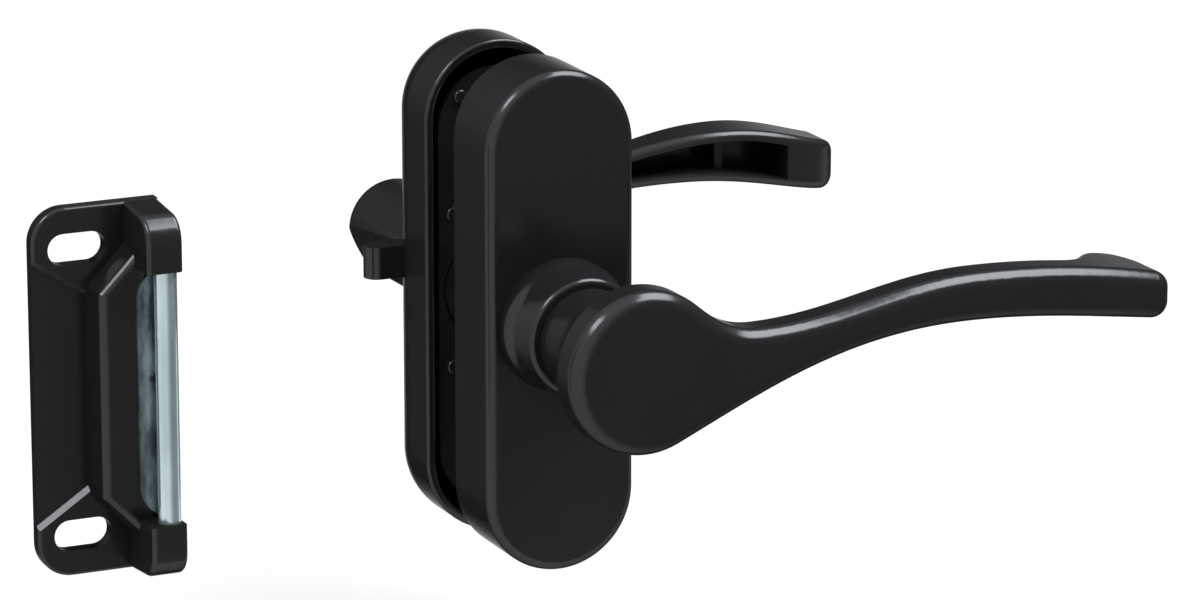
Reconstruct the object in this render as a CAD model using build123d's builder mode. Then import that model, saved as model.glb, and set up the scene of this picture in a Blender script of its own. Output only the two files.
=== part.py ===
from build123d import *
import os
from math import cos, radians, sin

# Lever latch for a screen door: an outside half, an inside half with a sliding bolt, and the strike.
# Millimetres. X runs along the levers, Y from outside to inside, Z up. The spindle lies on the Y axis,
# and Y = 0 is the outside face of the door.

os.makedirs("parts", exist_ok=True)

# Plates and door
plate_width = 27.8
plate_height = 90.0
plate_wall = 1.6
rim_round = 0.5
door_gap = 12.6

# Outside escutcheon
escutcheon_depth = 14.8
escutcheon_edge = 1.6
escutcheon_face = 2.6
collar_base_radius = 11.9
collar_base_height = 1.6
collar_shoulder_radius = 11.1
collar_shoulder_height = 4.6
collar_rim_radius = 10.6
collar_height = 10.5
collar_rim_round = 0.9

# Inside case
case_depth = 20.3
case_edge = 12.0
case_collar_radius = 9.6
case_collar_height = 1.3

# Fits
running_gap = 0.05
face_gap = 0.3
slide_gap = 0.2
press_gap = 0.03

# Spindle
spindle_side = 5.6
spindle_chamfer = 0.6
spindle_pin_radius = 1.0
spindle_in_outside_lever = 15.0
spindle_in_inside_lever = 17.0

# Outside lever
lever_standoff = 36.5
journal_radius = 8.0
neck_radius = 9.0
neck_length = 7.5
head_radius = 14.4
outside_reach = 100.9
arm_depth = 8.0
arm_edge = 2.6
tip_corner = 3.0
return_depth = 15.4
return_length = 19.4
return_crest = 6.6
return_tip_depth = 7.0
back_round = 1.4
channel_rim = 1.8
channel_clear = 6.0
channel_end_wall = 2.5
head_step = 0.6
channel_floor = 2.6

# Inside lever
inside_standoff = 29.8
inside_journal_radius = 6.5
hub_radius = 8.95
inside_reach = 86.9
inside_return_depth = 12.6
inside_return_length = 56.0
inside_return_crest = 12.0
inside_return_tip_depth = 9.0
inside_channel_end = 76.0
rib_from_tip = 23.3
rib_width = 1.6
hub_flat_distance = 7.7
hub_flat_angle = 205.8
hub_flat_tilt = 3.7
set_screw_radius = 2.0
set_screw_length = 2.0

# Retaining ring and thrust washer
washer_thickness = 1.0
ring_thickness = 1.0
ring_groove_depth = 1.0
ring_width = 3.4
journal_tail = 2.0

# Return spring
return_wire = 1.1
return_coil_radius = 6.4
return_coil_turns = 4
return_coil_pitch = 1.2

# Latch bolt and retractor
bolt_nose_width = 5.8
bolt_nose_depth = 4.8
bolt_nose_y = 23.6
bolt_nose_z = 3.5
bolt_tip_x = -20.2
bolt_tail_depth = 4.2
bolt_tail_overlap = 1.6
bolt_travel = 5.4
bolt_tail_left = -10.4
bolt_ear_height = 7.0
bolt_top = 12.5
bolt_ear_width = 2.5
finger_width = 3.6
finger_length = 10.5
finger_slack = 0.5
spindle_clear = 4.0
spring_ear_width = 1.5
bolt_tip_round = 2.3
retractor_radius = 9.8
retractor_disc = 2.5
retractor_inset = 0.8
retractor_sleeve_radius = 5.4
keeper_thickness = 1.2
keeper_top = 25.5
keeper_bottom = -19.5
keeper_screw_top = 21.5
keeper_screw_bottom = -15.5
keeper_screw_radius = 1.2
keeper_post_radius = 2.6
keeper_screw_length = 6.0
keeper_head_radius = 2.2
keeper_head_height = 1.2
keeper_clearance = 0.4
keeper_corner = 3.0
driver_slot = 0.8

# Bolt spring
bolt_wire = 0.8
bolt_coil_radius = 1.6
bolt_coil_turns = 6
bolt_spring_z = 15.0
spring_pad = 3.0

# Case cover
cover_end_gap = 3.4
cover_side_gap = 1.3
cover_thickness = 1.2
cover_inset = 1.0
dimple_radius = 1.3
dimple_height = 0.6
dimple_round = 0.5
end_dimple_from_side = 4.2
end_dimple_from_end = 4.8
middle_dimple_from_side = 2.6
middle_dimple_z = 14.0

# Mounting screws
mount_inset = 12.0
mount_post_radius = 5.2
mount_screw_radius = 2.0
mount_screw_clearance = 0.25
mount_head_radius = 3.8
mount_head_height = 2.4
mount_screw_engagement = 7.0
head_sink = 0.9
post_setback = 0.8

# Strike
strike_left = -98.5
strike_width = 22.5
strike_height = 63.8
strike_thickness = 2.6
strike_back_y = -17.3
strike_z = -0.1
strike_corner = 6.0
strike_edge = 0.6
field_depth = 0.8
field_width = 9.2
field_half = 16.6
field_slope = 6.0
slot_length = 10.2
slot_width = 5.4
slot_spacing = 49.6
slot_from_left = 7.9
step_height = 5.2
step_draft = 9.0
step_half = 25.2
step_corner = 18.1
step_edge = 1.4
lug_width = 6.3
lug_reach = 11.3
lug_drop = 1.0
lug_round = 4.5
lug_edge = 0.8
lug_opening = 43.8
bar_radius = 1.95
bar_from_right = 2.15
bar_reach = 8.3
bar_socket = 4.0
zinc_thickness = 0.6
zinc_width = 6.0
zinc_corner = 5.4
rivet_radius = 0.9
rivet_shank_radius = 0.6
rivet_head = 0.3
rivet_length = 3.0
rivet_from_right = 3.4
rivet_rise = 2.6

# Worked-out places along Y
escutcheon_front = -escutcheon_depth
collar_rim_y = escutcheon_front - collar_height
escutcheon_inner = escutcheon_front + escutcheon_face
shoulder_y = escutcheon_front - collar_shoulder_height
collar_base_y = escutcheon_front - collar_base_height
outside_lever_face = escutcheon_front - lever_standoff
washer_y = escutcheon_inner + washer_thickness
ring_y = washer_y + ring_thickness
journal_end = ring_y + journal_tail
case_apex = door_gap + case_depth
case_inner = case_apex - plate_wall
case_collar_y = case_apex + case_collar_height
inside_lever_face = case_apex + inside_standoff
inside_journal_end = case_inner - face_gap
half_width = plate_width / 2
inner_half_width = half_width - plate_wall
mount_z = plate_height / 2 - mount_inset
bolt_tail_y = bolt_nose_y + bolt_tail_overlap - bolt_tail_depth
keeper_back_y = bolt_tail_y - slide_gap
keeper_y = keeper_back_y - keeper_thickness
retractor_y = door_gap + retractor_inset
cover_height = plate_height - 2 * (plate_wall + cover_end_gap)
cover_width = plate_width - 2 * (plate_wall + cover_side_gap)
cover_y = door_gap + cover_inset
cover_back_y = cover_y + cover_thickness
end_dimple_x = cover_width / 2 - end_dimple_from_side
end_dimple_z = cover_height / 2 - end_dimple_from_end
middle_dimple_x = cover_width / 2 - middle_dimple_from_side
finger_y = retractor_y + retractor_disc + face_gap
finger_depth = keeper_y - face_gap - finger_y
spindle_start = journal_end - spindle_in_outside_lever
spindle_end = case_collar_y + spindle_in_inside_lever
hub_back_y = case_collar_y + face_gap
spring_seat_x = inner_half_width - spring_pad


# Sketch plane parallel to the door at the given Y, with X to the right and Z up
def facing(y):
    return Plane.XZ.offset(-y)


# Stadium outline of a plate, drawn smaller by an inset
def stadium(inset=0.0):
    with BuildSketch() as outline:
        SlotOverall(plate_height - 2 * inset, plate_width - 2 * inset, rotation=90)
    return outline.sketch


# Front outline of a lever, drawn smaller by an inset: round head, waist, arched arm and blunt tip
def lever_outline(shape, inset=0.0):
    head = shape["head"] - inset
    reach = shape["reach"] - inset
    waist = (shape["waist"][0], shape["waist"][1] - inset)
    crest = (shape["crest"][0], shape["crest"][1] - inset)
    sole = (shape["sole"][0], shape["sole"][1] + inset)
    tip_top = (reach, shape["tip"][0] - inset)
    tip_bottom = (reach, shape["tip"][1] + inset)
    leave_top = radians(50)
    leave_sole = radians(-66)
    head_top = (head * cos(leave_top), head * sin(leave_top))
    head_sole = (head * cos(leave_sole), head * sin(leave_sole))
    with BuildSketch() as outline:
        with BuildLine():
            Spline(head_top, waist, tangents=((sin(leave_top), -cos(leave_top)), (1, 0)))
            Spline(waist, crest, tangents=((1, 0), (1, 0)))
            Spline(crest, tip_top, tangents=((1, 0), (1, -0.22)))
            Line(tip_top, tip_bottom)
            Spline(tip_bottom, sole, tangents=((-1, 0.12), (-1, 0)))
            Spline(sole, head_sole, tangents=((-1, 0), (sin(leave_sole), -cos(leave_sole))))
            ThreePointArc(head_sole, (-head, 0), head_top)
        make_face()
        fillet(outline.vertices().group_by(Axis.X)[-1], tip_corner - inset)
    return outline.sketch


# Lever casting with its outer face at Y = 0 and its depth along +Y: the front outline cut to the plan of
# arm and returned tip, with rounded front edges and a hollow channel behind the arm
def lever_casting(shape, tip_length, tip_crest, crest_depth, tip_depth, channel_end):
    head = shape["head"]
    reach = shape["reach"]
    flank_start = (reach - tip_length, arm_depth)
    flank_crest = (reach - tip_crest, crest_depth)
    channel_start = head + channel_clear
    with BuildPart() as casting:
        with BuildSketch(Plane.XZ):
            add(lever_outline(shape))
        extrude(amount=-crest_depth)
        with BuildSketch(Plane.XY):
            with BuildLine():
                Polyline(flank_start, (-2 * head, arm_depth), (-2 * head, 0), (reach, 0), (reach, tip_depth))
                Spline((reach, tip_depth), flank_crest, tangents=((-0.5, 1), (-1, 0)))
                Spline(flank_crest, flank_start, tangents=((-1, 0), (-1, 0)))
            make_face()
        extrude(amount=2 * head, both=True, mode=Mode.INTERSECT)
        fillet(casting.faces().sort_by(Axis.Y)[0].edges(), arm_edge)
        back_faces = casting.faces().filter_by(lambda face: face.normal_at().Y > 0.3)
        fillet(back_faces.edges().filter_by(Axis.Z, reverse=True), back_round)
        with BuildSketch(facing(crest_depth)):
            add(lever_outline(shape, channel_rim))
            with Locations(((channel_start + channel_end) / 2, 0)):
                Rectangle(channel_end - channel_start, 4 * head, mode=Mode.INTERSECT)
        extrude(amount=crest_depth - channel_floor, mode=Mode.SUBTRACT)
    return casting.part


# Outside escutcheon: hollow stadium with a domed collar for the lever and two tapped posts
with BuildPart() as outside_escutcheon:
    with BuildSketch(facing(0)):
        add(stadium())
    extrude(amount=escutcheon_depth)
    fillet(outside_escutcheon.faces().sort_by(Axis.Y)[0].edges(), escutcheon_edge)
    with BuildSketch(Plane.XY):
        with BuildLine():
            Polyline(
                (collar_base_radius, escutcheon_front),
                (0, escutcheon_front),
                (0, collar_rim_y),
                (collar_rim_radius - collar_rim_round, collar_rim_y),
            )
            RadiusArc(
                (collar_rim_radius - collar_rim_round, collar_rim_y),
                (collar_rim_radius, collar_rim_y + collar_rim_round),
                -collar_rim_round,
            )
            Line((collar_rim_radius, collar_rim_y + collar_rim_round), (collar_shoulder_radius, shoulder_y))
            Spline(
                (collar_shoulder_radius, shoulder_y),
                (collar_base_radius, collar_base_y),
                tangents=((collar_shoulder_radius - collar_rim_radius, collar_height / 2), (0, 1)),
            )
            Line((collar_base_radius, collar_base_y), (collar_base_radius, escutcheon_front))
        make_face()
    revolve(axis=Axis.Y)
    with BuildSketch(facing(0)):
        add(stadium(plate_wall))
    extrude(amount=escutcheon_depth - escutcheon_face, mode=Mode.SUBTRACT)
    with BuildSketch(facing(-post_setback)):
        with Locations((0, mount_z), (0, -mount_z)):
            Circle(mount_post_radius)
    extrude(amount=escutcheon_depth - escutcheon_face / 2 - post_setback)
    with BuildSketch(facing(0)):
        with Locations((0, mount_z), (0, -mount_z)):
            Circle(mount_screw_radius + press_gap)
    extrude(amount=mount_screw_engagement + post_setback, mode=Mode.SUBTRACT)
    with BuildSketch(facing(0)):
        Circle(journal_radius + running_gap)
    extrude(amount=escutcheon_depth + collar_height, mode=Mode.SUBTRACT)
outside_escutcheon.part.label = "outside_escutcheon"
export_step(outside_escutcheon.part, "parts/outside_escutcheon.step")


# Outside lever: arm casting with a flared neck and a journal that turns in the collar
outside_shape = {
    "head": head_radius,
    "reach": outside_reach,
    "waist": (22.0, 5.4),
    "crest": (63.0, 10.7),
    "sole": (60.0, 2.1),
    "tip": (6.4, -1.9),
}
outside_casting = lever_casting(
    outside_shape,
    return_length,
    return_crest,
    return_depth,
    return_tip_depth,
    outside_reach - return_length - channel_end_wall,
)
head_back = outside_lever_face + arm_depth
flare_radius = head_radius - head_step
neck_start = collar_rim_y - face_gap
neck_end = neck_start - neck_length
groove_radius = journal_radius - ring_groove_depth
socket_side = spindle_side + 2 * press_gap
pin_y = (neck_start + washer_y) / 2
with BuildPart() as outside_lever:
    with Locations((0, outside_lever_face, 0)):
        add(outside_casting)
    with BuildSketch(Plane.XY):
        with BuildLine():
            Polyline(
                (0, journal_end),
                (journal_radius, journal_end),
                (journal_radius, ring_y),
                (groove_radius, ring_y),
                (groove_radius, washer_y),
                (journal_radius, washer_y),
                (journal_radius, neck_start),
                (neck_radius, neck_start),
                (neck_radius, neck_end),
            )
            TangentArc((neck_radius, neck_end), (flare_radius, head_back), tangent=(0, -1))
            Polyline(
                (flare_radius, head_back),
                (flare_radius, head_back - head_step),
                (0, head_back - head_step),
                (0, journal_end),
            )
        make_face()
    revolve(axis=Axis.Y)
    with BuildSketch(facing(journal_end)):
        Rectangle(socket_side, socket_side)
    extrude(amount=spindle_in_outside_lever, mode=Mode.SUBTRACT)
    with BuildSketch(Plane.YZ):
        with Locations((pin_y, 0)):
            Circle(spindle_pin_radius + press_gap)
    extrude(amount=journal_radius, both=True, mode=Mode.SUBTRACT)
outside_lever.part.label = "outside_lever"
export_step(outside_lever.part, "parts/outside_lever.step")


# Thrust washer behind the escutcheon's face
with BuildPart() as outside_washer:
    with BuildSketch(facing(washer_y)):
        Circle(groove_radius + ring_width)
        Circle(journal_radius + face_gap, mode=Mode.SUBTRACT)
    extrude(amount=washer_thickness)
outside_washer.part.label = "outside_washer"
export_step(outside_washer.part, "parts/outside_washer.step")


# Open snap ring in the journal's groove
with BuildPart() as outside_retaining_ring:
    with BuildSketch(facing(ring_y)):
        Circle(groove_radius + ring_width)
        Circle(groove_radius + press_gap, mode=Mode.SUBTRACT)
        with Locations((0, -groove_radius - ring_width / 2)):
            Rectangle(groove_radius, 2 * ring_width, mode=Mode.SUBTRACT)
    extrude(amount=ring_thickness)
outside_retaining_ring.part.label = "outside_retaining_ring"
export_step(outside_retaining_ring.part, "parts/outside_retaining_ring.step")


# Torsion spring behind the journal, with one straight leg against the plate's wall
coil_start_y = journal_end + return_wire / 2 + face_gap
with BuildPart() as return_spring:
    with BuildLine() as return_path:
        turns = Helix(
            pitch=return_coil_pitch,
            height=return_coil_pitch * return_coil_turns,
            radius=return_coil_radius,
            center=(0, coil_start_y, 0),
            direction=(0, 1, 0),
        )
        Line(turns @ 1, turns @ 1 + (turns % 1) * (inner_half_width - return_wire))
    with BuildSketch(Plane(return_path.line @ 0, z_dir=return_path.line % 0)):
        Circle(return_wire / 2)
    sweep()
return_spring.part.label = "return_spring"
export_step(return_spring.part, "parts/return_spring.step")


# Square spindle from lever to lever, with bevelled corners
with BuildPart() as spindle:
    with BuildSketch(facing(spindle_start)) as spindle_section:
        Rectangle(spindle_side, spindle_side)
        chamfer(spindle_section.vertices(), spindle_chamfer)
    extrude(amount=spindle_start - spindle_end)
    with BuildSketch(Plane.YZ):
        with Locations((pin_y, 0)):
            Circle(spindle_pin_radius + press_gap)
    extrude(amount=spindle_side, both=True, mode=Mode.SUBTRACT)
spindle.part.label = "spindle"
export_step(spindle.part, "parts/spindle.step")


# Cross pin that holds the spindle in the outside lever
with BuildPart() as spindle_pin:
    with BuildSketch(Plane.YZ):
        with Locations((pin_y, 0)):
            Circle(spindle_pin_radius)
    extrude(amount=journal_radius - face_gap, both=True)
spindle_pin.part.label = "spindle_pin"
export_step(spindle_pin.part, "parts/spindle_pin.step")


# Hollow of the inside case, which leaves an even wall inside the domed shell
with BuildPart() as case_hollow:
    with BuildSketch(facing(door_gap)):
        add(stadium(plate_wall))
    extrude(amount=door_gap - case_inner)
    fillet(case_hollow.faces().sort_by(Axis.Y)[-1].edges(), case_edge - plate_wall)


# Inside case: domed stadium, open towards the door, with screw posts, bolt port and lever bearing
head_seat_y = case_apex - mount_head_height - head_sink
with BuildPart() as inside_case:
    with BuildSketch(facing(door_gap)):
        add(stadium())
    extrude(amount=-case_depth)
    fillet(inside_case.faces().sort_by(Axis.Y)[-1].edges(), case_edge)
    with BuildSketch(facing(case_collar_y)):
        Circle(case_collar_radius)
    extrude(amount=case_depth / 2)
    add(case_hollow.part, mode=Mode.SUBTRACT)
    fillet(inside_case.faces().sort_by(Axis.Y)[0].edges(), rim_round)
    with BuildSketch(facing(cover_back_y)):
        with Locations((0, mount_z), (0, -mount_z)):
            Circle(mount_post_radius)
    extrude(amount=cover_back_y - case_inner - plate_wall / 2)
    with BuildSketch(facing(keeper_back_y)):
        with Locations((0, keeper_screw_top), (0, keeper_screw_bottom)):
            Circle(keeper_post_radius)
    extrude(amount=keeper_back_y - case_inner - plate_wall / 2)
    with BuildSketch(facing(bolt_tail_y)):
        with Locations(((spring_seat_x + half_width - plate_wall / 2) / 2, bolt_spring_z)):
            Rectangle(half_width - plate_wall / 2 - spring_seat_x, 2 * bolt_coil_radius + bolt_wire)
    extrude(amount=-bolt_tail_depth)
    with BuildSketch(facing(case_apex)):
        with Locations((0, mount_z), (0, -mount_z)):
            Circle(mount_head_radius + mount_screw_clearance)
    extrude(amount=case_apex - head_seat_y, mode=Mode.SUBTRACT)
    with BuildSketch(facing(case_apex)):
        with Locations((0, mount_z), (0, -mount_z)):
            Circle(mount_screw_radius + mount_screw_clearance)
    extrude(amount=case_depth, mode=Mode.SUBTRACT)
    with BuildSketch(facing(keeper_y)):
        with Locations((0, keeper_screw_top), (0, keeper_screw_bottom)):
            Circle(keeper_screw_radius + press_gap)
    extrude(amount=-keeper_screw_length, mode=Mode.SUBTRACT)
    with BuildSketch(facing(case_collar_y)):
        Circle(inside_journal_radius + running_gap)
    extrude(amount=case_collar_height + 2 * plate_wall, mode=Mode.SUBTRACT)
    with BuildSketch(facing(bolt_nose_y - face_gap)):
        with Locations((-half_width, bolt_nose_z)):
            Rectangle(half_width, bolt_nose_width + 2 * face_gap)
    extrude(amount=-bolt_nose_depth - 2 * face_gap, mode=Mode.SUBTRACT)
inside_case.part.label = "inside_case"
export_step(inside_case.part, "parts/inside_case.step")


# Cover sheet on the screw posts, open for the retractor, with small raised dimples towards the door
with BuildPart() as case_cover:
    with BuildSketch(facing(cover_back_y)):
        SlotOverall(cover_height, cover_width, rotation=90)
        Circle(retractor_radius + face_gap, mode=Mode.SUBTRACT)
        with Locations((0, mount_z), (0, -mount_z)):
            Circle(mount_screw_radius + mount_screw_clearance, mode=Mode.SUBTRACT)
    extrude(amount=cover_thickness)
    with BuildSketch(facing(cover_y)):
        with GridLocations(2 * end_dimple_x, 2 * end_dimple_z, 2, 2):
            Circle(dimple_radius)
        with GridLocations(2 * middle_dimple_x, 2 * middle_dimple_z, 2, 2):
            Circle(dimple_radius)
    extrude(amount=dimple_height)
    fillet(case_cover.faces().group_by(Axis.Y)[0].edges(), dimple_round)
case_cover.part.label = "case_cover"
export_step(case_cover.part, "parts/case_cover.step")


# Inside lever: hollow-backed arm on a plain hub with a flat, and a journal in the case
inside_shape = {
    "head": hub_radius,
    "reach": inside_reach,
    "waist": (20.0, 6.4),
    "crest": (64.0, 13.4),
    "sole": (57.0, 4.0),
    "tip": (8.9, -0.3),
}
inside_casting = lever_casting(
    inside_shape,
    inside_return_length,
    inside_return_crest,
    inside_return_depth,
    inside_return_tip_depth,
    inside_channel_end,
)
flat_direction = Vector(cos(radians(hub_flat_angle)), 0, sin(radians(hub_flat_angle)))
flat_lean = radians(hub_flat_tilt)
flat_plane = Plane(
    flat_direction * hub_flat_distance + Vector(0, inside_lever_face, 0),
    x_dir=flat_direction * sin(flat_lean) + Vector(0, cos(flat_lean), 0),
    z_dir=flat_direction * cos(flat_lean) - Vector(0, sin(flat_lean), 0),
)
set_screw_y = hub_back_y + 3 * set_screw_radius
set_screw_plane = Plane((0, set_screw_y, 0), z_dir=flat_direction)
with BuildPart() as inside_lever:
    with Locations((0, inside_lever_face, 0)):
        add(mirror(inside_casting, about=Plane.XZ, mode=Mode.PRIVATE))
    with BuildSketch(facing(hub_back_y)):
        Circle(hub_radius)
    extrude(amount=hub_back_y - inside_lever_face + arm_edge)
    with BuildSketch(facing(inside_lever_face - arm_depth)):
        add(lever_outline(inside_shape, channel_rim / 2))
        with Locations((inside_reach - rib_from_tip, 0)):
            Rectangle(rib_width, 4 * hub_radius, mode=Mode.INTERSECT)
    extrude(amount=-arm_depth + channel_floor / 2)
    with BuildSketch(flat_plane):
        with Locations(((hub_back_y - inside_lever_face) / 2, 0)):
            Rectangle(inside_lever_face - hub_back_y, 4 * hub_radius)
    extrude(amount=hub_radius, mode=Mode.SUBTRACT)
    with BuildSketch(facing(inside_journal_end)):
        Circle(inside_journal_radius)
    extrude(amount=inside_journal_end - hub_back_y)
    with BuildSketch(facing(inside_journal_end)):
        Rectangle(socket_side, socket_side)
    extrude(amount=inside_journal_end - spindle_end, mode=Mode.SUBTRACT)
    with BuildSketch(set_screw_plane):
        Circle(set_screw_radius + press_gap)
    extrude(amount=2 * hub_radius, mode=Mode.SUBTRACT)
inside_lever.part.label = "inside_lever"
export_step(inside_lever.part, "parts/inside_lever.step")


# Set screw in the flat of the hub, with a hexagon socket
flat_turn = radians(hub_flat_angle - 180)
set_screw_foot = (spindle_side / 2 + set_screw_radius * sin(flat_turn)) / cos(flat_turn) + press_gap
with BuildPart() as set_screw:
    with BuildSketch(set_screw_plane.offset(set_screw_foot)):
        Circle(set_screw_radius)
    extrude(amount=set_screw_length)
    with BuildSketch(set_screw_plane.offset(set_screw_foot + set_screw_length)):
        RegularPolygon(set_screw_radius / 2, 6)
    extrude(amount=-set_screw_length / 2, mode=Mode.SUBTRACT)
set_screw.part.label = "set_screw"
export_step(set_screw.part, "parts/set_screw.step")


# Retractor hub on the spindle: round disc, sleeve that turns in the keeper, and finger that draws the bolt
with BuildPart() as retractor_hub:
    with BuildSketch(facing(retractor_y)):
        Circle(retractor_radius)
    extrude(amount=-retractor_disc)
    with BuildSketch(facing(retractor_y)):
        Circle(retractor_sleeve_radius)
    extrude(amount=retractor_y - bolt_tail_y + face_gap)
    with BuildSketch(facing(finger_y)):
        with Locations((0, finger_length / 2)):
            Rectangle(finger_width, finger_length)
    extrude(amount=-finger_depth)
    with BuildSketch(facing(retractor_y)):
        Rectangle(socket_side, socket_side)
    extrude(amount=retractor_y - bolt_tail_y, mode=Mode.SUBTRACT)
retractor_hub.part.label = "retractor_hub"
export_step(retractor_hub.part, "parts/retractor_hub.step")


# Latch bolt: rounded nose, a tail that passes over the spindle, an ear for the finger and one for the spring
ear_left = finger_width / 2 + finger_slack
ear_right = ear_left + bolt_ear_width
tail_step = -spindle_clear - bolt_travel
nose_bottom = bolt_nose_z - bolt_nose_width / 2
nose_top = bolt_nose_z + bolt_nose_width / 2
spring_ear_right = bolt_tail_left + spring_ear_width
with BuildPart() as latch_bolt:
    with BuildSketch(facing(bolt_tail_y)):
        with BuildLine():
            Polyline(
                (bolt_tail_left, nose_bottom),
                (tail_step, nose_bottom),
                (tail_step, spindle_clear),
                (ear_right, spindle_clear),
                (ear_right, bolt_top),
                (spring_ear_right, bolt_top),
                (spring_ear_right, bolt_spring_z + bolt_coil_radius),
                (bolt_tail_left, bolt_spring_z + bolt_coil_radius),
                close=True,
            )
        make_face()
    extrude(amount=-bolt_tail_depth)
    with BuildSketch(facing(bolt_nose_y)):
        with BuildLine():
            Polyline(
                (bolt_tip_x, nose_bottom),
                (tail_step, nose_bottom),
                (tail_step, spindle_clear),
                (0, spindle_clear),
                (0, nose_top),
                (bolt_tip_x, nose_top),
                close=True,
            )
        make_face()
    extrude(amount=-bolt_nose_depth)
    fillet(latch_bolt.edges().filter_by(Axis.Z).group_by(Axis.X)[0], bolt_tip_round)
    with BuildSketch(facing(bolt_tail_y)):
        with Locations(((ear_left + ear_right) / 2, (bolt_ear_height + bolt_top) / 2)):
            Rectangle(bolt_ear_width, bolt_top - bolt_ear_height)
    extrude(amount=bolt_tail_y - finger_y)
latch_bolt.part.label = "latch_bolt"
export_step(latch_bolt.part, "parts/latch_bolt.step")


# Compression spring between the bolt's ear and the pad in the case
bolt_spring_start = spring_ear_right + bolt_wire
bolt_spring_length = spring_seat_x - bolt_wire - bolt_spring_start
with BuildPart() as bolt_spring:
    with BuildLine() as bolt_spring_path:
        Helix(
            pitch=bolt_spring_length / bolt_coil_turns,
            height=bolt_spring_length,
            radius=bolt_coil_radius,
            center=(bolt_spring_start, bolt_tail_y + bolt_tail_depth / 2, bolt_spring_z),
            direction=(1, 0, 0),
        )
    with BuildSketch(Plane(bolt_spring_path.line @ 0, z_dir=bolt_spring_path.line % 0)):
        Circle(bolt_wire / 2)
    sweep()
bolt_spring.part.label = "bolt_spring"
export_step(bolt_spring.part, "parts/bolt_spring.step")


# Keeper: sheet plate across the case that carries the retractor's sleeve and holds the bolt in
keeper_half_width = inner_half_width - keeper_clearance
with BuildPart() as bolt_keeper:
    with BuildSketch(facing(keeper_y)):
        with Locations((0, (keeper_top + keeper_bottom) / 2)):
            RectangleRounded(2 * keeper_half_width, keeper_top - keeper_bottom, keeper_corner)
        Circle(retractor_sleeve_radius + running_gap, mode=Mode.SUBTRACT)
        with Locations(((ear_left + ear_right + bolt_travel) / 2, (bolt_ear_height + bolt_top) / 2)):
            Rectangle(
                bolt_ear_width + bolt_travel + 2 * face_gap,
                bolt_top - bolt_ear_height + 2 * face_gap,
                mode=Mode.SUBTRACT,
            )
        with Locations((0, keeper_screw_top), (0, keeper_screw_bottom)):
            Circle(keeper_screw_radius + press_gap, mode=Mode.SUBTRACT)
    extrude(amount=-keeper_thickness)
bolt_keeper.part.label = "bolt_keeper"
export_step(bolt_keeper.part, "parts/bolt_keeper.step")


# Two small pan-head screws that hold the keeper
for place, screw_z in (("upper", keeper_screw_top), ("lower", keeper_screw_bottom)):
    with BuildPart() as keeper_screw:
        with BuildSketch(facing(keeper_y)):
            with Locations((0, screw_z)):
                Circle(keeper_head_radius)
        extrude(amount=keeper_head_height)
        fillet(keeper_screw.faces().sort_by(Axis.Y)[0].edges(), keeper_head_height / 2)
        with BuildSketch(facing(keeper_y)):
            with Locations((0, screw_z)):
                Circle(keeper_screw_radius)
        extrude(amount=-keeper_screw_length)
        with BuildSketch(facing(keeper_y - keeper_head_height)):
            with Locations((0, screw_z)):
                Rectangle(keeper_head_radius * 1.3, driver_slot)
                Rectangle(driver_slot, keeper_head_radius * 1.3)
        extrude(amount=-keeper_head_height / 2, mode=Mode.SUBTRACT)
    keeper_screw.part.label = f"keeper_screw_{place}"
    export_step(keeper_screw.part, f"parts/keeper_screw_{place}.step")


# Two long screws that clamp the halves on the door
for place, screw_z in (("upper", mount_z), ("lower", -mount_z)):
    with BuildPart() as mounting_screw:
        with BuildSketch(facing(head_seat_y)):
            with Locations((0, screw_z)):
                Circle(mount_head_radius)
        extrude(amount=-mount_head_height)
        fillet(mounting_screw.faces().sort_by(Axis.Y)[-1].edges(), mount_head_height / 3)
        with BuildSketch(facing(head_seat_y)):
            with Locations((0, screw_z)):
                Circle(mount_screw_radius)
        extrude(amount=head_seat_y + mount_screw_engagement)
        with BuildSketch(facing(head_seat_y + mount_head_height)):
            with Locations((0, screw_z)):
                Rectangle(mount_head_radius * 1.3, driver_slot)
                Rectangle(driver_slot, mount_head_radius * 1.3)
        extrude(amount=mount_head_height / 2, mode=Mode.SUBTRACT)
    mounting_screw.part.label = f"mounting_screw_{place}"
    export_step(mounting_screw.part, f"parts/mounting_screw_{place}.step")


# Lug at the strike's upper end, which holds the bar
strike_right = strike_left + strike_width
strike_front = strike_back_y - strike_thickness
strike_half = strike_height / 2
field_right = strike_left + field_width
field_floor = strike_front + field_depth
lug_front = strike_front - lug_reach
lug_left = strike_right - lug_width
step_front = strike_front - step_height
opening_half = lug_opening / 2
bar_x = strike_right - bar_from_right
bar_y = strike_front - bar_reach
rivet_x = strike_right - rivet_from_right
rivet_z = strike_z + rivet_rise
slot_places = (
    (strike_left + slot_from_left, strike_z + slot_spacing / 2),
    (strike_left + slot_from_left, strike_z - slot_spacing / 2),
)
with BuildPart() as strike_lug:
    with BuildSketch(Plane.YZ.offset(strike_right)) as lug_outline:
        with BuildLine():
            Polyline(
                (strike_back_y, strike_z + strike_half),
                (strike_front, strike_z + strike_half),
                (lug_front, strike_z + strike_half - lug_drop),
                (lug_front, strike_z + opening_half),
                (strike_back_y, strike_z + opening_half),
                close=True,
            )
        make_face()
        fillet(lug_outline.vertices().group_by(Axis.X)[0].sort_by(Axis.Y)[-1], lug_round)
    extrude(amount=-lug_width)
    front_edges = strike_lug.faces().sort_by(Axis.Y)[0].edges().filter_by(Axis.Z)
    fillet(front_edges, lug_edge)


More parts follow.
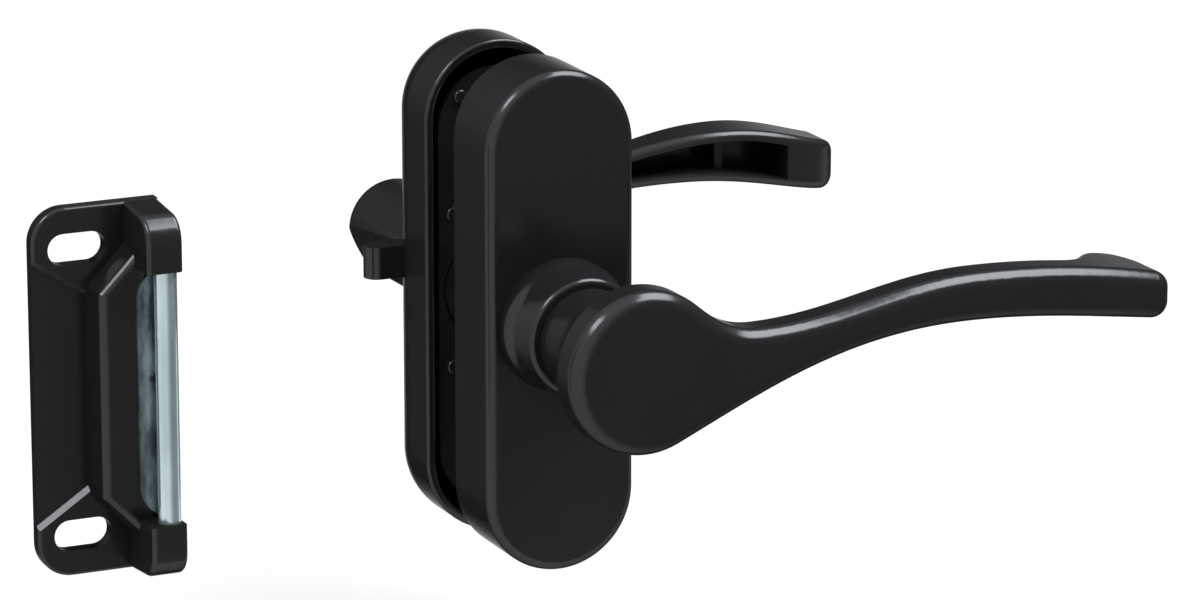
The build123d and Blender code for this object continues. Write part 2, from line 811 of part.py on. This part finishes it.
# Strike base: slotted plate with a sunk field, a step that carries the zinc plate, and two lugs for the bar
with BuildPart() as strike_base:
    with BuildSketch(facing(strike_back_y)) as strike_outline:
        with Locations((strike_left + strike_width / 2, strike_z)):
            Rectangle(strike_width, strike_height)
        fillet(strike_outline.vertices().group_by(Axis.X)[0], strike_corner)
    extrude(amount=strike_thickness)
    fillet(strike_base.faces().sort_by(Axis.Y)[0].edges(), strike_edge)
    with BuildSketch(facing(field_floor)):
        with BuildLine():
            Polyline(
                (strike_left - field_width, strike_z + field_half + 2 * field_slope),
                (field_right, strike_z + field_half),
                (field_right, strike_z - field_half),
                (strike_left - field_width, strike_z - field_half - 2 * field_slope),
                close=True,
            )
        make_face()
    extrude(amount=2 * field_depth, taper=-45, mode=Mode.SUBTRACT)
    with BuildSketch(facing(strike_front)):
        with Locations(*slot_places):
            SlotOverall(slot_length, slot_width)
    extrude(amount=-strike_thickness, mode=Mode.SUBTRACT)
    with BuildSketch(facing(field_floor)):
        with BuildLine():
            Polyline(
                (field_right, strike_z + step_corner),
                (lug_left, strike_z + step_half),
                (strike_right, strike_z + step_half),
                (strike_right, strike_z - step_half),
                (lug_left, strike_z - step_half),
                (field_right, strike_z - step_corner),
                close=True,
            )
        make_face()
    extrude(amount=step_height + field_depth, taper=step_draft)
    step_face = strike_base.faces().sort_by(Axis.Y)[0]
    fillet(step_face.edges().filter_by(lambda edge: edge.center().X < lug_left), step_edge)
    add(strike_lug.part)
    add(mirror(strike_lug.part, about=Plane.XY.offset(strike_z), mode=Mode.PRIVATE))
    with BuildSketch(Plane.XY.offset(strike_z)):
        with Locations((bar_x, bar_y)):
            Circle(bar_radius + press_gap)
    extrude(amount=opening_half + bar_socket, both=True, mode=Mode.SUBTRACT)
    with BuildSketch(facing(step_front)):
        with Locations((rivet_x, rivet_z)):
            Circle(rivet_shank_radius + press_gap)
    extrude(amount=-rivet_length, mode=Mode.SUBTRACT)
strike_base.part.label = "strike_base"
export_step(strike_base.part, "parts/strike_base.step")


# Zinc-plated bar between the lugs
with BuildPart() as strike_bar:
    with BuildSketch(Plane.XY.offset(strike_z)):
        with Locations((bar_x, bar_y)):
            Circle(bar_radius)
    extrude(amount=opening_half + bar_socket - face_gap, both=True)
strike_bar.part.label = "strike_bar"
export_step(strike_bar.part, "parts/strike_bar.step")


# Zinc-plated plate on the step behind the bar, with two rounded corners
zinc_right = strike_right - face_gap
zinc_half = opening_half - face_gap
with BuildPart() as strike_plate:
    with BuildSketch(facing(step_front)) as zinc_outline:
        with Locations((zinc_right - zinc_width / 2, strike_z)):
            Rectangle(zinc_width, 2 * zinc_half)
        fillet(zinc_outline.vertices().group_by(Axis.X)[0], zinc_corner)
        with Locations((rivet_x, rivet_z)):
            Circle(rivet_shank_radius + press_gap, mode=Mode.SUBTRACT)
    extrude(amount=zinc_thickness)
strike_plate.part.label = "strike_plate"
export_step(strike_plate.part, "parts/strike_plate.step")


# Rivet that holds the zinc plate on the step
zinc_front = step_front - zinc_thickness
with BuildPart() as strike_rivet:
    with BuildSketch(facing(zinc_front)):
        with Locations((rivet_x, rivet_z)):
            Circle(rivet_radius)
    extrude(amount=rivet_head)
    fillet(strike_rivet.faces().sort_by(Axis.Y)[0].edges(), rivet_head / 2)
    with BuildSketch(facing(zinc_front)):
        with Locations((rivet_x, rivet_z)):
            Circle(rivet_shank_radius)
    extrude(amount=-zinc_thickness - rivet_length)
strike_rivet.part.label = "strike_rivet"
export_step(strike_rivet.part, "parts/strike_rivet.step")
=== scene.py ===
import math
import bpy
from mathutils import Matrix, Vector


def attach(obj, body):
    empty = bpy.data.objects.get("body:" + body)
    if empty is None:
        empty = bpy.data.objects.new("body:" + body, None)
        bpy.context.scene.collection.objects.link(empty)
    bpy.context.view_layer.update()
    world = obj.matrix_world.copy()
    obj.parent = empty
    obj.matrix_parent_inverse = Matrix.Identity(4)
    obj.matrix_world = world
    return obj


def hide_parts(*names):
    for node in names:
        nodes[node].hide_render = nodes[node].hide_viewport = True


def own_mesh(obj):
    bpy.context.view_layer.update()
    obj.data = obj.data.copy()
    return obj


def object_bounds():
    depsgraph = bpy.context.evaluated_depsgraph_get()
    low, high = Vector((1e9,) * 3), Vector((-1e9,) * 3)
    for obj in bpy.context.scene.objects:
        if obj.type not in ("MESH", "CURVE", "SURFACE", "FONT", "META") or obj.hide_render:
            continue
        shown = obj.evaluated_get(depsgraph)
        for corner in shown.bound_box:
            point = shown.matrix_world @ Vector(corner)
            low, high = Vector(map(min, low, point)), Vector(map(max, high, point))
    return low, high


# Lever latch in gloss black with a zinc-plated strike bar
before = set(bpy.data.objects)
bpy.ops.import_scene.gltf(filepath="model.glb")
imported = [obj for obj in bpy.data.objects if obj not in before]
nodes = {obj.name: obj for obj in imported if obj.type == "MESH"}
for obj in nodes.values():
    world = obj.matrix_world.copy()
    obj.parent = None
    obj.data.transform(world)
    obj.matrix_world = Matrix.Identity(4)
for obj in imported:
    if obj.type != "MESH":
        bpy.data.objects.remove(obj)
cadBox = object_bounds()
mm = 0.001
print("frame loaded with", len(nodes), "pieces")


class Wire:  # a shader socket that takes part in Python maths
    def __init__(self, tree, socket):
        self.tree = tree
        self.socket = socket

    def maths(self, operation, *others):
        node = self.tree.nodes.new("ShaderNodeMath")
        node.operation = operation
        for place, value in zip(node.inputs, others):
            if isinstance(value, Wire):
                self.tree.links.new(value.socket, place)
            else:
                place.default_value = value
        return Wire(self.tree, node.outputs[0])

    def __add__(self, other):
        return self.maths("ADD", self, other)

    def __radd__(self, other):
        return self.maths("ADD", other, self)

    def __sub__(self, other):
        return self.maths("SUBTRACT", self, other)

    def __mul__(self, other):
        return self.maths("MULTIPLY", self, other)

    def __truediv__(self, other):
        return self.maths("DIVIDE", self, other)

    def clamp(self):
        return self.maths("MINIMUM", self.maths("MAXIMUM", self, 0.0), 1.0)


class Shader:  # one material or world tree, with a single way to add a node
    def __init__(self, owner):
        owner.use_nodes = True
        self.tree = owner.node_tree
        self.tree.nodes.clear()

    def node(self, kind, settings=None, out=0, **values):
        made = self.tree.nodes.new("ShaderNode" + kind)
        for name, value in (settings or {}).items():
            setattr(made, name, value)
        for name, value in values.items():
            numbered = name[0] == "i" and name[1:].isdigit()
            socket = made.inputs[int(name[1:]) if numbered else name]
            if isinstance(value, Wire):
                self.tree.links.new(value.socket, socket)
            else:
                socket.default_value = value
        return Wire(self.tree, made.outputs[out])

    def mixColour(self, factor, first, second):
        return self.node("Mix", {"data_type": "RGBA"}, out=2, i0=factor, i6=first, i7=second)

    def noise(self, place, scale, detail, roughness):
        return self.node("TexNoise", Vector=place, Scale=scale, Detail=detail, Roughness=roughness)

    def bump(self, height, strength):
        return self.node("Bump", Strength=strength, Distance=mm, Height=height)

    def finish(self, surface, kind="OutputMaterial"):
        end = self.tree.nodes.new("ShaderNode" + kind)
        self.tree.links.new(surface.socket, end.inputs["Surface"])


def newMaterial(name):
    material = bpy.data.materials.new(name)
    return material, Shader(material)


def dress(material, *names):
    for name in names:
        slots = nodes[name].data.materials
        slots.clear()
        slots.append(material)


# Gloss black finish on the castings
paint = {
    "colour": (0.0435, 0.0441, 0.0452, 1),
    "colourThin": (0.0485, 0.0491, 0.0502, 1),
    "metalShare": 0.78,  # the rest is a plain dull black that keeps hollows from going dead
    "grazingShadeTint": (0.305, 0.31, 0.31, 1),  # painted shade: a dark tint on the glancing reflection, so tops and side walls mirror little of the white backdrop
    "roughness": 0.19,
    "roughnessSpread": 0.06,
    "peelScale": 900.0,  # bumps of the sprayed coat, per metre
    "peelDetail": 2.0,
    "peelGrit": 0.5,
    "peelHeight": 0.012,
    "cloudScale": 60.0,
    "cloudDetail": 3.0,
    "cloudGrit": 0.55,
}


def blackPaint():
    material, shader = newMaterial("black_gloss_finish")
    place = shader.node("TexCoord", out=3)
    cloud = shader.noise(place, paint["cloudScale"], paint["cloudDetail"], paint["cloudGrit"])
    peel = shader.noise(place, paint["peelScale"], paint["peelDetail"], paint["peelGrit"])
    colour = shader.mixColour(cloud, paint["colour"], paint["colourThin"])
    roughness = paint["roughness"] + (cloud - 0.5) * paint["roughnessSpread"]
    normal = shader.bump(peel, paint["peelHeight"])
    surface = shader.node(
        "BsdfPrincipled",
        **{
            "Base Color": colour,
            "Metallic": paint["metalShare"],
            "Specular IOR Level": 0.0,
            # the grazing tint paints shade onto tops and side walls seen at a low angle
            "Specular Tint": paint["grazingShadeTint"],
            "Roughness": roughness,
            "Normal": normal,
        },
    )
    shader.finish(surface)
    return material


# Zinc plating, bright on the strike's bar; on the plate behind it rougher, with its colours painted darker as
# shade of the recess
zinc = {
    "drawnDetail": 2.0,
    "drawnHeight": 0.03,
    "cloudStretch": 0.3,
    "cloudDetail": 4.0,
    "grit": 0.6,
    "patchFrom": 0.35,  # noise level at which dull patches begin
    "patchGain": 3.3,
}
zincBar = {
    "name": "bright_zinc",
    "metallic": 0.80,
    "colour": (0.56, 0.68, 0.71, 1),
    "colourDull": (0.44, 0.54, 0.57, 1),
    "cloudScale": 180.0,
    "roughness": 0.20,
    "roughnessSpread": 0.12,
    "drawnScale": 2600.0,  # fine lines along the bar, per metre
    "drawnStretch": 0.02,
}
zincPlate = {
    "name": "dull_shaded_zinc",
    "metallic": 0.90,
    # painted shade: the plate's colours are set far darker than the bar's zinc, for the recess behind the bar
    "colour": (0.34, 0.40, 0.42, 1),
    "colourDull": (0.08, 0.095, 0.105, 1),
    "cloudScale": 420.0,
    "roughness": 0.30,
    "roughnessSpread": 0.16,
    "drawnScale": 1500.0,
    "drawnStretch": 0.04,
}


def zincFinish(look):
    material, shader = newMaterial(look["name"])
    place = shader.node("TexCoord", out=3)
    drawn = shader.node("Mapping", Vector=place, Scale=(1.0, 1.0, look["drawnStretch"]))
    lines = shader.noise(drawn, look["drawnScale"], zinc["drawnDetail"], zinc["grit"])
    smear = shader.node("Mapping", Vector=place, Scale=(1.0, 1.0, zinc["cloudStretch"]))
    cloud = shader.noise(smear, look["cloudScale"], zinc["cloudDetail"], zinc["grit"])
    patches = ((cloud - zinc["patchFrom"]) * zinc["patchGain"]).clamp()
    colour = shader.mixColour(patches, look["colour"], look["colourDull"])
    roughness = look["roughness"] + (lines - 0.5) * look["roughnessSpread"]
    normal = shader.bump(lines, zinc["drawnHeight"])
    surface = shader.node(
        "BsdfPrincipled",
        **{"Base Color": colour, "Metallic": look["metallic"], "Roughness": roughness, "Normal": normal},
    )
    shader.finish(surface)
    return material


# Satin steel of the spindle, springs and screws
steel = {
    "colour": (0.40, 0.41, 0.42, 1),
    "colourDark": (0.22, 0.225, 0.23, 1),
    "roughness": 0.34,
    "roughnessSpread": 0.16,
    "grainScale": 1400.0,  # fine grain, per metre
    "grainGrit": 0.6,
    "grainHeight": 0.04,
    "cloudScale": 140.0,
    "cloudGrit": 0.5,
    "detail": 3.0,
}


def satinSteel():
    material, shader = newMaterial("satin_steel")
    place = shader.node("TexCoord", out=3)
    grain = shader.noise(place, steel["grainScale"], steel["detail"], steel["grainGrit"])
    cloud = shader.noise(place, steel["cloudScale"], steel["detail"], steel["cloudGrit"])
    colour = shader.mixColour(cloud, steel["colour"], steel["colourDark"])
    roughness = steel["roughness"] + (grain - 0.5) * steel["roughnessSpread"]
    normal = shader.bump(grain, steel["grainHeight"])
    surface = shader.node(
        "BsdfPrincipled",
        **{"Base Color": colour, "Metallic": 1.0, "Roughness": roughness, "Normal": normal},
    )
    shader.finish(surface)
    return material


dress(
    blackPaint(),
    "outside_escutcheon", "outside_lever", "inside_case", "inside_lever", "latch_bolt", "retractor_hub",
    "bolt_keeper", "case_cover", "mounting_screw_upper", "mounting_screw_lower", "strike_base", "strike_rivet",
)
dress(zincFinish(zincBar), "strike_bar")
dress(zincFinish(zincPlate), "strike_plate")
dress(
    satinSteel(),
    "outside_washer", "outside_retaining_ring", "return_spring", "spindle", "spindle_pin", "set_screw",
    "bolt_spring", "keeper_screw_upper", "keeper_screw_lower",
)
print("finishes dressed")


def buildCoil():
    spring = bpy.data.objects.new("bolt_spring_coil", nodes["bolt_spring"].data.copy())
    bpy.context.scene.collection.objects.link(spring)
    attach(spring, "fixed")
    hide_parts("bolt_spring")
    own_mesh(spring)


buildCoil()
print("bolt spring set")


# Camera at the photograph's viewing angle
shot = {
    "azimuth": 24.644,
    "elevation": 15.2108,
    "focalPixels": 6000.0,
    "pixelsPerMm": 5.7554,
    "imageWidth": 1194.0,
    "imageHeight": 600.0,
    "sensorWidth": 36.0,  # millimetres
    "clip": (0.01, 20.0),  # metres
    "seenAt": (562.03, 323.96),  # pixel of the point below
    "seenPoint": (0.0, -14.8, 0.0),  # middle of the escutcheon's face, in mm
}


def setCamera():
    turn = math.radians(shot["azimuth"])
    tilt = math.radians(shot["elevation"])
    right = Vector((math.cos(turn), -math.sin(turn), 0))
    ahead = Vector((math.sin(turn) * math.cos(tilt), math.cos(turn) * math.cos(tilt), -math.sin(tilt)))
    up = right.cross(ahead)
    distance = shot["focalPixels"] / shot["pixelsPerMm"]
    across = (shot["seenAt"][0] - shot["imageWidth"] / 2) / shot["focalPixels"] * distance
    above = (shot["imageHeight"] / 2 - shot["seenAt"][1]) / shot["focalPixels"] * distance
    data = bpy.data.cameras.new("photo_camera")
    data.sensor_width = shot["sensorWidth"]
    data.lens = shot["sensorWidth"] * shot["focalPixels"] / shot["imageWidth"]
    data.clip_start, data.clip_end = shot["clip"]
    camera = bpy.data.objects.new("photo_camera", data)
    camera.location = (Vector(shot["seenPoint"]) - right * across - up * above - ahead * distance) * mm
    camera.rotation_mode = "QUATERNION"
    camera.rotation_quaternion = ahead.to_track_quat("-Z", "Y")
    bpy.context.scene.collection.objects.link(camera)
    bpy.context.scene.camera = camera


setCamera()
print("camera set")


# White backdrop, dimmer room in front, pale table and soft lamps
studio = {
    "white": (1.0, 1.0, 1.0, 1),
    "plainWhite": 1.0,  # strength at which the backdrop and floor show as white
    "skyLight": 0.45,  # strength of the backdrop as a lamp
    "roomLight": 0.25,  # the room in front of the table, to the right of the camera
    "roomFade": (-0.78, -0.30),  # from room to backdrop, by how far a direction points to brightSide
    "brightSide": (-0.80, 0.60, 0.0),
    "floorColour": (0.80, 0.80, 0.80, 1),
    "floorGlow": 0.80,  # share of plain white in what the eye sees of the floor
    "floorFront": -0.055,  # metres, the table's front edge
    "floorSize": 6.0,
    "floorDrop": 0.0168,  # metres below the lowest point, room for the lever's swing
    "lamps": {
        "top_softbox": {
            "at": (0.58, -0.18, 0.97),
            "along": (0.0, 1.0, 0.0),
            "size": (1.10, 0.62),
            "watts": 23.6,
            "tint": (0.93, 0.96, 1.0),
        },
        "left_softbox": {
            "at": (-0.60, -0.22, 0.76),
            "along": (0.0, 1.0, 0.0),
            "size": (0.60, 0.30),
            "watts": 5.6,
            "tint": (0.95, 0.97, 1.0),
        },
    },
}


def seenPlainly(shader):
    path = shader.node("LightPath", out=0)
    mirrored = Wire(shader.tree, path.socket.node.outputs["Is Glossy Ray"])
    through = Wire(shader.tree, path.socket.node.outputs["Is Transmission Ray"])
    return (path + mirrored + through).clamp()


def buildSky():
    world = bpy.data.worlds.new("white_room")
    bpy.context.scene.world = world
    sky = Shader(world)
    direction = sky.node("TexCoord", out=0)
    dot = {"operation": "DOT_PRODUCT"}
    towards = sky.node("VectorMath", dot, out=1, i0=direction, i1=studio["brightSide"])
    low, high = studio["roomFade"]
    bright = ((towards - low) / (high - low)).clamp()
    light = sky.node("Background", Color=studio["white"], Strength=studio["skyLight"])
    backdrop = sky.node("Background", Color=studio["white"], Strength=studio["plainWhite"])
    room = sky.node("Background", Color=studio["white"], Strength=studio["roomLight"])
    far = sky.node("MixShader", i0=seenPlainly(sky), i1=light, i2=backdrop)
    sky.finish(sky.node("MixShader", i0=bright, i1=room, i2=far), "OutputWorld")


def buildFloor():
    low = cadBox[0][2] - studio["floorDrop"]
    mesh = bpy.data.meshes.new("floor")
    half = studio["floorSize"] / 2
    front = studio["floorFront"]
    corners = [(-half, front, low), (half, front, low), (half, half, low), (-half, half, low)]
    mesh.from_pydata(corners, [], [(0, 1, 2, 3)])
    floor = bpy.data.objects.new("floor", mesh)
    bpy.context.scene.collection.objects.link(floor)
    material, shader = newMaterial("pale_floor")
    lit = shader.node("BsdfDiffuse", Color=studio["floorColour"])
    glow = shader.node("Emission", Color=studio["white"], Strength=studio["plainWhite"])
    share = seenPlainly(shader) * studio["floorGlow"]
    shader.finish(shader.node("MixShader", i0=share, i1=lit, i2=glow))
    mesh.materials.append(material)


def buildLamps():
    for name, lamp in studio["lamps"].items():
        data = bpy.data.lights.new(name, "AREA")
        data.shape = "RECTANGLE"
        data.size, data.size_y = lamp["size"]
        data.energy = lamp["watts"]
        data.color = lamp["tint"]
        thing = bpy.data.objects.new(name, data)
        facing = Vector(lamp["at"]).normalized()  # a lamp shines along its own -Z
        along = Vector(lamp["along"])
        along = (along - facing * along.dot(facing)).normalized()
        across = facing.cross(along)
        thing.matrix_world = Matrix((along, across, facing)).transposed().to_4x4()
        thing.location = lamp["at"]
        bpy.context.scene.collection.objects.link(thing)


buildSky()
buildFloor()
buildLamps()
bpy.context.scene.view_settings.view_transform = "Standard"
print("studio lit")
